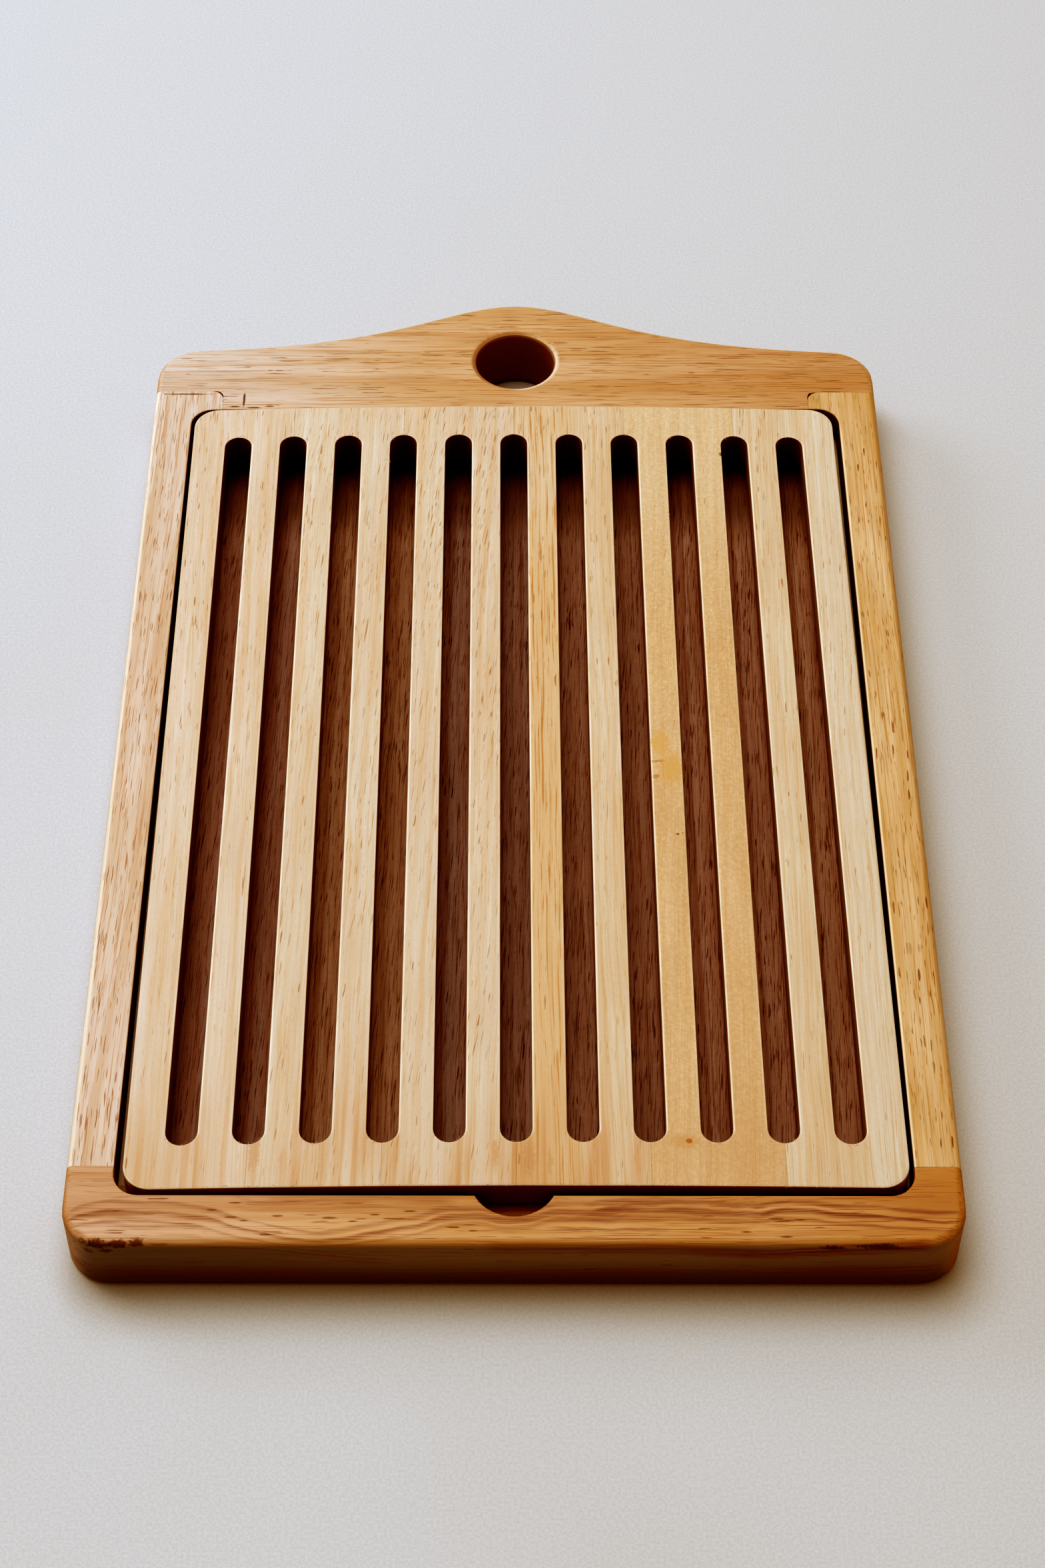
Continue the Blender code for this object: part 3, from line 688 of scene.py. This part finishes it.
wood.dashes(LOOSE_DASHES, (0.16, 0.07, 0.045), 0.75)
wood.edges((0.24, 0.09, 0.03), (0.52, 0.28, 0.11), 0.5, 0.25)
for x, z, length, width in BROKEN_OUT:
    wood.spot((x, front_y / MM, z), (length, BROKEN_DEPTH, width), (0.11, 0.055, 0.04), 0.82, 1.3, 0.8)
paint("bottom_rail", wood.finish())

# %% [markdown]
# ## The stiles
#
# The left stile is pinkish cream with thin reddish dashes, and the right one is warm straw with bold brown
# ones. They come from different planks, as in most glued boards. The recess walls on both get painted shade.
# The left stile's outer edge is worn pale with a painted highlight, and its inner edge has painted shade; the
# right stile's inner rim has a painted highlight, and its outer edge painted shade.

# %% Finish the stiles
WALL = 15.3 * MM
RIM = 1.3 * MM
RECESS_EDGE = right_x - WALL + RIM
LEFT_LEAN = 0.025
print("the stiles' recess walls and their rims end at x =", round(RECESS_EDGE, 4))

wood = Timber("left_stile_wood", ALONG_Y + LEFT_LEAN, (0.12, 0.3, 0.04), (0.695, 0.59, 0.55),
              (0.65, 0.53, 0.465), 0.14, 3 * MM)
wood.stain(wood.ramp(wood.y, 50 * MM, 150 * MM), (0.71, 0.66, 0.65), 0.6)
wood.blush((0.58, 0.38, 0.29), 0.35)
wood.bands((0.54, 0.35, 0.24), 3.4, (0, 0.35, -0.2), 1.2, soft=0.12)
wood.hairs((0.50, 0.28, 0.19), 0.5)
wood.pores((0.32, 0.14, 0.08), 14, 0.55, share=0.42, strength=0.85)
wood.ticks((0.38, 0.18, 0.11), 11, 0.42, 0.635)
inside, outside = wood.recess(RECESS_EDGE)
# The outer edge is pale, partly wear and partly a painted highlight; the inner edge's amber is painted shade.
edge = wood.edges((0.40, 0.2, 0.09), (0.86, 0.78, 0.70), 0.4, 0.7, outside)
wood.stain((edge, inside), (0.62, 0.42, 0.26), 0.5)
wood.spot((-127, 163.6, top_z / MM), (12, 0.5, 1), (0.16, 0.06, 0.04), 0.85, 0.9, 0.6)
paint("left_stile", wood.finish())

wood = Timber("right_stile_wood", ALONG_Y, (0.22, 0.6, 0.03), (0.70, 0.54, 0.42), (0.625, 0.44, 0.295), 0.18,
              3 * MM)
wood.blush((0.55, 0.34, 0.16), 0.4)
wood.bands((0.50, 0.29, 0.12), 2.6, (0, 0.5, -0.2), 1.4, soft=0.2, lines=0.4)
wood.hairs((0.48, 0.27, 0.11), 0.65)
wood.pores((0.22, 0.09, 0.04), 9.5, 0.95, share=0.24, strength=0.88)
wood.ticks((0.32, 0.14, 0.055), 8, 0.44, 0.66)
inside, outside = wood.recess(RECESS_EDGE)
# The inner rim's pale edge and the pale band on its upward faces are a painted highlight.
edge = wood.edges((0.36, 0.17, 0.06), (0.90, 0.85, 0.78), 0.4, 0.5, inside)
faces_up = wood.ramp(wood.facing[2], 0.3, 0.5)
straight_side = wood.ramp(wood.y, 140 * MM, 150 * MM, 1.0, 0.0)
wood.stain((inside, faces_up, straight_side), (0.90, 0.80, 0.67), 0.6)
# Painted shade on the outer edge.
wood.stain((edge, outside), (0.50, 0.30, 0.15), 0.45)
wood.dashes((CORNER_VOID,), (0.03, 0.012, 0.008), 0.95)
paint("right_stile", wood.finish())

# %% [markdown]
# ## The rack's staves
#
# Six staves are glued side by side and the slots are cut through them, so the tone changes from bar to bar.
# Each stave gets the same layers with its own colours and its own place in the pattern. Each table has an
# entry for each stave, from left to right.

# %% The looks of the rack's staves
RACK_TONES = (
    ((0.70, 0.61, 0.565), (0.66, 0.555, 0.495)),
    ((0.69, 0.62, 0.57), (0.66, 0.56, 0.50)),
    ((0.69, 0.61, 0.555), (0.655, 0.55, 0.49)),
    ((0.69, 0.595, 0.525), (0.66, 0.53, 0.44)),
    ((0.68, 0.52, 0.40), (0.63, 0.455, 0.33)),
    ((0.695, 0.605, 0.53), (0.66, 0.54, 0.455)),
)
RACK_TURNS = (-0.01, 0.02, 0.02, -0.01, 0.03, 0.01)
PORE_LEANS = (0.02, 0.07, 0.10, 0.03, 0.15, 0.02)
PORE_SHARES = (0.16, 0.22, 0.30, 0.18, 0.03, 0.14)
TICK_LEVELS = (0.68, 0.66, 0.645, 0.68, 0.74, 0.69)
RACK_RINGS = (3.4, 3.4, 3.0, 2.0, 2.6, 2.0)
RACK_LINES = (0.16, 0.16, 0.16, 0.22, 0.12, 0.14)
RACK_HAIRS = (0.34, 0.36, 0.36, 0.4, 0.22, 0.42)
LOW_END = (0.58, 0.66, 0.95, 1.0, 0.45, 0.1)
ORANGE_STAVE, SPECKLED_STAVE, LAST_STAVE = 3, 4, 5
MARK_DEPTH = 5
RACK_MARKS = (
    (78.1, 129.3, 1.1, 1.6, (0.30, 0.10, 0.03)),
    (55.4, -57, 0.8, 0.6, (0.10, 0.04, 0.02)),
    (57, -56.4, 0.5, 0.4, (0.24, 0.10, 0.05)),
    (53.5, -180.6, 6.5, 4, (0.60, 0.39, 0.25)),
    (54.7, -180.4, 1.3, 1.3, (0.42, 0.16, 0.05)),
    (-81, -184, 2.4, 10, (0.60, 0.42, 0.33)),
    (-72, -188, 1.6, 7, (0.62, 0.45, 0.35)),
    (-6, -186, 1.6, 9, (0.60, 0.40, 0.28)),
    (4.5, -187, 2.8, 10, (0.55, 0.35, 0.24)),
    (11, -188, 1.4, 7, (0.57, 0.38, 0.26)),
    (50.5, -16, 5, 8, (0.65, 0.435, 0.25)),
    (54, -28, 5.5, 11, (0.645, 0.43, 0.245)),
    (49.5, -24.5, 2.8, 1, (0.52, 0.30, 0.14)),
    (48.8, -31.5, 1.8, 1.4, (0.52, 0.30, 0.14)),
)
print("marks on the rack:", len(RACK_MARKS))


# %% Finish the rack
def add_stave(number, name):
    """Finishes one stave of the rack."""
    shift = (0.9 + 0.37 * number, 0.13 * number, 0.05)
    speckled = number == SPECKLED_STAVE
    wood = Timber(name + "_wood", ALONG_Y + RACK_TURNS[number], shift, *RACK_TONES[number], 0.10, 5 * MM,
                  PORE_LEANS[number])
    if speckled:
        wood.stain(wood.ramp(wood.y, 20 * MM, 120 * MM), (0.695, 0.59, 0.49), 0.65)
    wood.blush((0.65, 0.46, 0.34), 0.38)
    if number == LAST_STAVE:
        wood.stain(wood.ramp(wood.x, 108 * MM, 114 * MM), (0.71, 0.66, 0.62), 0.5)
    pith = (0, 0.13 * number + 0.25, -0.2)
    wood.bands((0.56, 0.37, 0.21), RACK_RINGS[number], pith, 2.6, soft=0.12, lines=RACK_LINES[number])
    wood.hairs((0.58, 0.40, 0.24), RACK_HAIRS[number])
    if number == ORANGE_STAVE:
        near_slot_6 = wood.ramp(wood.x, 19 * MM, 22 * MM, 1.0, 0.0)
        to_far_end = wood.ramp(wood.y, 60 * MM, 130 * MM, 1.0, 0.35)
        wood.stain((near_slot_6, to_far_end), (0.67, 0.48, 0.335), 0.6)
        wood.stain((near_slot_6, wood.fibres["Hairlines"]), (0.50, 0.25, 0.11), 0.75)
    wood.flecks(0.5, 0.1 if speckled else 0.03, 0.4 if speckled else 0.0)
    low_end = wood.ramp(wood.y, rack_front_y, rack_front_y + 55 * MM, 1.0, 0.0)
    blotched = wood.ramp(wood.fibres["Clouds"], 0.0, 1.0, 0.35, 1.0)
    streaked = wood.ramp(wood.fibres["Broad Streaks"], 0.0, 1.0, 0.6, 1.5)
    wood.stain((low_end, blotched, streaked), (0.58, 0.37, 0.25), LOW_END[number])
    fewer = wood.ramp(wood.y, rack_front_y + 10 * MM, 130 * MM, 0.3, 1.0)
    wood.pores((0.40, 0.20, 0.115), 10, 0.58, times(wood.tree, fewer, PORE_SHARES[number]))
    level = maths(wood.tree, "MULTIPLY_ADD", fewer, -0.05, TICK_LEVELS[number] + 0.05)
    wood.ticks((0.45, 0.24, 0.14), 11, 0.42, level, 0.75)
    if speckled:
        pale_share = wood.ramp(wood.y, -110 * MM, -20 * MM, 0.05, 0.45)
        wood.pores((0.78, 0.66, 0.51), 2.2, 0.8, pale_share, 0.35, dent=0.0, core=0.4)
    # The end grain's darkening also paints the shade on the slots' end walls, and the pale edges are partly
    # wear and partly a painted highlight.
    wood.edges((0.22, 0.09, 0.06), (0.80, 0.73, 0.66), 0.9, 0.8)
    slots = use(wood.tree, "Slot Rims", Position=wood.position)
    # A painted highlight on the slots' rims.
    uneven_highlight = wood.ramp(wood.fibres["Fine Streaks"], 0.0, 0.7, 0.5, 1.0)
    wood.stain((slots["Rim"], uneven_highlight), (0.90, 0.83, 0.75), 0.75)
    # Painted shade on the slots' walls.
    walls = wood.ramp(wood.facing[2], 0.2, 0.5, 1.0, 0.0)
    wood.stain((walls, slots["Inside"]), (0.22, 0.10, 0.06), 0.8)
    low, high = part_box(name)
    for x, y, across, along, colour in RACK_MARKS:
        if low[0] < x * MM < high[0]:
            wood.spot((x, y, rack_top_z / MM - 2), (across, along, MARK_DEPTH), colour, 0.85, 1.0)
    paint(name, wood.finish(0.48, 0.65))


for number, name in enumerate(rack_staves):
    add_stave(number, name)

# %% [markdown]
# ## The floor of the crumb tray
#
# The floor is red-brown and lies in shade, with painted shade towards the slots' far ends. Its left staves
# have fine lines, and its right ones bold dashes.

# %% Finish the floor
FLOOR_TONES = ((0.40, 0.272, 0.27), (0.51, 0.35, 0.305), (0.405, 0.30, 0.312), (0.46, 0.322, 0.31),
               (0.525, 0.352, 0.33), (0.54, 0.36, 0.325))
DEEP_SHARE = 0.84
FAR_END_SHADE_FROM = 98 * MM
FAR_END_SHADE_FULL = 122 * MM

for number, name in enumerate(floor_staves):
    shift = (2.1 + 0.41 * number, 0.17 * number, 0.02)
    tone = FLOOR_TONES[number]
    deep = [DEEP_SHARE * value for value in tone]
    wood = Timber(name + "_wood", ALONG_Y, shift, tone, deep, 0.2, 2.5 * MM, 0.06)
    wood.bands((0.26, 0.10, 0.055), 2.4, (0, 0.17 * number + 0.2, -0.2), 1.5, soft=0.25, lines=0.25)
    wood.hairs((0.17, 0.07, 0.04), 0.5)
    wood.pores((0.07, 0.018, 0.01), 10, 0.6, share=0.14 + 0.05 * number, strength=0.85)
    wood.ticks((0.10, 0.034, 0.02), 12, 0.36, 0.605, 0.72)
    wood.flecks(-0.3, 0.08)
    # Painted shade towards the slots' far ends.
    wood.stain(wood.ramp(wood.y, FAR_END_SHADE_FROM, FAR_END_SHADE_FULL), (0.11, 0.055, 0.04), 0.62)
    wood.edges((0.22, 0.08, 0.03), (0.5, 0.2, 0.08), 0.3, 0.1)
    paint(name, wood.finish(0.5, 0.7))

# %% [markdown]
# ## The dowels
#
# Turned pins of plain wood hold the corners. They are hidden, and still get wood, in case a joint is opened.

# %% Finish the dowels
wood = Timber("dowel_wood", ALONG_Y, (0.4, 0.2, 0.3), (0.66, 0.50, 0.32), (0.58, 0.41, 0.24))
wood.bands((0.5, 0.32, 0.17), 1.6, (0, 0.1, -0.1))
wood.pores((0.34, 0.18, 0.09), 5, 0.5, share=0.3, strength=0.5, dent=0.0)
wood.edges((0.44, 0.27, 0.14), (0.66, 0.5, 0.32))
dowel_wood = wood.finish(0.6, 0.75)
for name in pieces:
    if name.startswith("dowel"):
        paint(name, dowel_wood)

# %% [markdown]
# ## Loose fibres
#
# The cutter left a few fibres standing at the slots' edges and along the near edge of the rack. They are too
# thin for the solids, and a dark mark in the material would lie flat. So each is a hair of real wood: a short
# bent curve with a round section. A ray cast down on the rack finds the height where each one is rooted.

# %% Helpers that root a fibre on the rack
FIBRE_RADIUS = 0.07 * MM
FIBRE_STEPS = 5
LOWEST_ROOT = top_z - 1.5 * MM


def rack_surface():
    """Returns the rack's faces in a tree that rays can be cast at."""
    points, faces = [], []
    for name in rack_staves:
        start = len(points)
        mesh = pieces[name].data
        points += [vertex.co.copy() for vertex in mesh.vertices]
        faces += [[start + corner for corner in face.vertices] for face in mesh.polygons]
    return BVHTree.FromPolygons(points, faces)


surface = rack_surface()


def add_fibre(curve, root, heading, length, curl):
    """Adds one bent fibre to the curve, from its root on the rack in the given heading."""
    above = Vector((root[0], root[1], 2 * top_z))
    hit = surface.ray_cast(above, Vector((0, 0, -1)))[0]
    if hit is None or hit.z < LOWEST_ROOT:
        return
    spline = curve.splines.new("POLY")
    spline.points.add(FIBRE_STEPS)
    for step in range(FIBRE_STEPS + 1):
        share = step / FIBRE_STEPS
        turned = heading + curl * share
        place = hit + share * length * Vector((math.cos(turned), math.sin(turned), 0))
        place.z = min(place.z + length * (0.5 * share - 0.35 * share ** 2), rack_top_z - FIBRE_RADIUS)
        spline.points[step].co = (place.x, place.y, place.z, 1.0)
        spline.points[step].radius = 1.0 - 0.6 * share


# %% Make the loose fibres
CURLS = ((-47.9, 123.4, 2.6), (-68.9, 116.2, 2.2), (-5.9, 32.5, 2.4), (15.3, -24, 1.6), (57.1, 96, 1.4))
FULL_CURL = 2.4
SLOT_FAR_END = 139 * MM
SLOT_LOW_END = -181 * MM
CHIPPED_SLOT = 6
FIBRES_AT_CHIP = 9
FIBRES_AT_END = 3
FIBRES_AT_NEAR_EDGE = 40
ROOT_CIRCLE = SLOT_HALF_WIDTH + 0.7 * MM
chance = random.Random(12)

fibre_curve = bpy.data.curves.new("loose_fibres", "CURVE")
fibre_curve.dimensions = "3D"
fibre_curve.bevel_depth = FIBRE_RADIUS
fibre_curve.bevel_resolution = 0
fibre_curve.use_fill_caps = True
for x, y, length in CURLS:
    add_fibre(fibre_curve, (x * MM, y * MM), chance.uniform(-0.4, 0.5), length * MM, FULL_CURL)
for slot in range(SLOT_COUNT):
    middle = (slot - SLOT_COUNT // 2) * SLOT_PITCH
    for end, side in ((SLOT_FAR_END, 1), (SLOT_LOW_END, -1)):
        centre_y = end - side * SLOT_HALF_WIDTH
        for fibre in range(FIBRES_AT_CHIP if slot == CHIPPED_SLOT and side < 0 else FIBRES_AT_END):
            angle = side * (math.pi / 2 + chance.uniform(-1.1, 1.1))
            root = (middle + ROOT_CIRCLE * math.cos(angle), centre_y + ROOT_CIRCLE * math.sin(angle))
            add_fibre(fibre_curve, root, angle + math.pi + chance.uniform(-0.8, 0.8),
                      chance.uniform(0.7, 1.5) * MM, chance.uniform(-1.0, 1.0))
for fibre in range(FIBRES_AT_NEAR_EDGE):
    root = (chance.uniform(-100, 100) * MM, rack_front_y + MM)
    add_fibre(fibre_curve, root, -math.pi / 2 + chance.uniform(-0.7, 0.7), chance.uniform(0.5, 1.2) * MM,
              chance.uniform(-1.2, 1.2))
loose_fibres = bpy.data.objects.new("loose_fibres", fibre_curve)
bpy.context.collection.objects.link(loose_fibres)
wood = Timber("fibre_wood", ALONG_Y, (0.5, 0.1, 0.2), (0.80, 0.72, 0.64), (0.70, 0.56, 0.44), 0.3)
fibre_curve.materials.append(wood.finish(0.5, 0.7))
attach(loose_fibres, "rack")
print("loose fibres:", len(fibre_curve.splines))

# %% [markdown]
# ## The table
#
# The board lies on a pale tabletop. One large plane is enough, with a faint uneven tone and a fine tooth.

# %% Make the table
TABLE_SIZE = 6.0

bpy.ops.mesh.primitive_plane_add(size=TABLE_SIZE, location=(0, 0, board_low[2]))
table = bpy.context.object
table.name = "table_top"
table_paint = bpy.data.materials.new("table_paint")
tree = empty_tree(table_paint)
place = put(tree, "ShaderNodeTexCoord").outputs["Object"]
broad = noise(tree, place, 6.0)
tooth = noise(tree, place, 1100.0, 1.0)
tone = mix(tree, broad, (0.615, 0.624, 0.648, 1), (0.595, 0.603, 0.624, 1))
tone = mix(tree, 1.0, tone, ramp(tree, tooth, 0.25, 0.75, 0.955, 1.045), "MULTIPLY")
roughness = ramp(tree, broad, 0.3, 0.7, 0.55, 0.65)
relief = put(tree, "ShaderNodeBump", {"Height": tooth, "Strength": 0.3, "Distance": 0.05 * MM}).outputs[0]
shader = put(tree, "ShaderNodeBsdfPrincipled", {"Base Color": tone, "Roughness": roughness, "Normal": relief})
put(tree, "ShaderNodeOutputMaterial", {"Surface": shader.outputs[0]})
table.data.materials.append(table_paint)
print("table:", TABLE_SIZE, "m wide")

# %% [markdown]
# ## Light
#
# A large window behind the board, to its left, lights it. Its near edges and the slots' far ends fall into
# shade. A small lamp would cut hard shadows, so an area light of the window's size is used, and a dim warm
# sky fills the shade. Seen past the table's edge, that sky is a plain pale backdrop.


# %% Make the light
def add_window(name, place, size, power, colour):
    """Adds an area light that faces the board."""
    light = bpy.data.lights.new(name, "AREA")
    light.shape = "RECTANGLE"
    light.size, light.size_y = size
    light.energy = power
    light.color = colour
    holder = bpy.data.objects.new(name, light)
    bpy.context.collection.objects.link(holder)
    holder.location = place
    holder.rotation_euler = (-Vector(place)).to_track_quat("-Z", "Y").to_euler()
    print("light", name, "gives", power, "W")


add_window("skylight", (-0.42, 0.70, 2.45), (2.0, 2.0), 48.5, (0.95, 1.0, 1.05))
add_window("window", (-1.88, 1.30, 1.06), (1.3, 0.8), 13.0, (1.0, 1.0, 1.0))
sky = bpy.data.worlds.new("room")
tree = empty_tree(sky)
seen = put(tree, "ShaderNodeLightPath").outputs["Is Camera Ray"]
fill = put(tree, "ShaderNodeBackground", {"Color": (1.0, 0.85, 0.69, 1), "Strength": 0.39}).outputs[0]
backdrop = put(tree, "ShaderNodeBackground", {"Color": (0.50, 0.49, 0.48, 1), "Strength": 1.0}).outputs[0]
air = put(tree, "ShaderNodeMixShader", {0: seen, 1: fill, 2: backdrop})
put(tree, "ShaderNodeOutputWorld", {"Surface": air.outputs[0]})
bpy.context.scene.world = sky

# %% [markdown]
# ## Camera and grading
#
# The camera stands in front of the board and looks down at about 50 degrees. The photograph was printed with
# hard contrast: shades sink to black, and blue sinks sooner than red, so they turn warm. A curve for each
# colour does the same to the finished picture. All curves keep the white of the table where it is.

# %% Place the camera
CAMERA_HEIGHT = 778.945 * MM
CAMERA_BACK = 666.108 * MM
CAMERA_SIDE = -0.3 * MM
CAMERA_TILT = math.radians(40)
CAMERA_YAW = -0.0045038
CAMERA_ROLL = 0.0051175
FOCAL_PIXELS = 4422.777
IMAGE_HEIGHT = 2352
SENSOR = 36.0

camera_data = bpy.data.cameras.new("camera")
camera_data.sensor_fit = "VERTICAL"
camera_data.sensor_height = SENSOR
camera_data.lens = FOCAL_PIXELS / IMAGE_HEIGHT * SENSOR
camera_data.clip_start = 0.01
camera = bpy.data.objects.new("camera", camera_data)
bpy.context.collection.objects.link(camera)
camera_place = Vector((CAMERA_SIDE, rack_middle_y - CAMERA_BACK, top_z + CAMERA_HEIGHT))
camera.matrix_world = (Matrix.Translation(camera_place) @ Matrix.Rotation(CAMERA_YAW, 4, "Z")
                       @ Matrix.Rotation(CAMERA_TILT, 4, "X") @ Matrix.Rotation(CAMERA_ROLL, 4, "Z"))
bpy.context.scene.camera = camera
print("camera at", [round(value, 4) for value in camera_place])

# %% Grade the picture
TABLE_WHITE = 0.62
BLACK_TOE = 0.10
HARDNESS = (1.2, 1.55, 2.1)
CURVE_PLACES = (0.01, 0.025, 0.045, 0.07, 0.1, 0.14, 0.2, 0.29, 0.42, TABLE_WHITE, 0.8)


def printed(light, hardness):
    """Returns how bright a light comes out in print."""
    toe = light ** 3 / (light ** 2 + BLACK_TOE ** 2)
    white_toe = TABLE_WHITE ** 3 / (TABLE_WHITE ** 2 + BLACK_TOE ** 2)
    return TABLE_WHITE * (toe / white_toe) ** hardness


view = bpy.context.scene.view_settings
view.view_transform = "Standard"
view.look = "None"
view.use_curve_mapping = True
view.curve_mapping.clip_max_y = 1.5
for channel, hardness in enumerate(HARDNESS):
    curve = view.curve_mapping.curves[channel]
    curve.points[-1].location = (1.0, printed(1.0, hardness))
    for light in CURVE_PLACES:
        curve.points.new(light, printed(light, hardness))
view.curve_mapping.update()
print("printed grey:", [round(printed(0.2, hardness), 4) for hardness in HARDNESS])
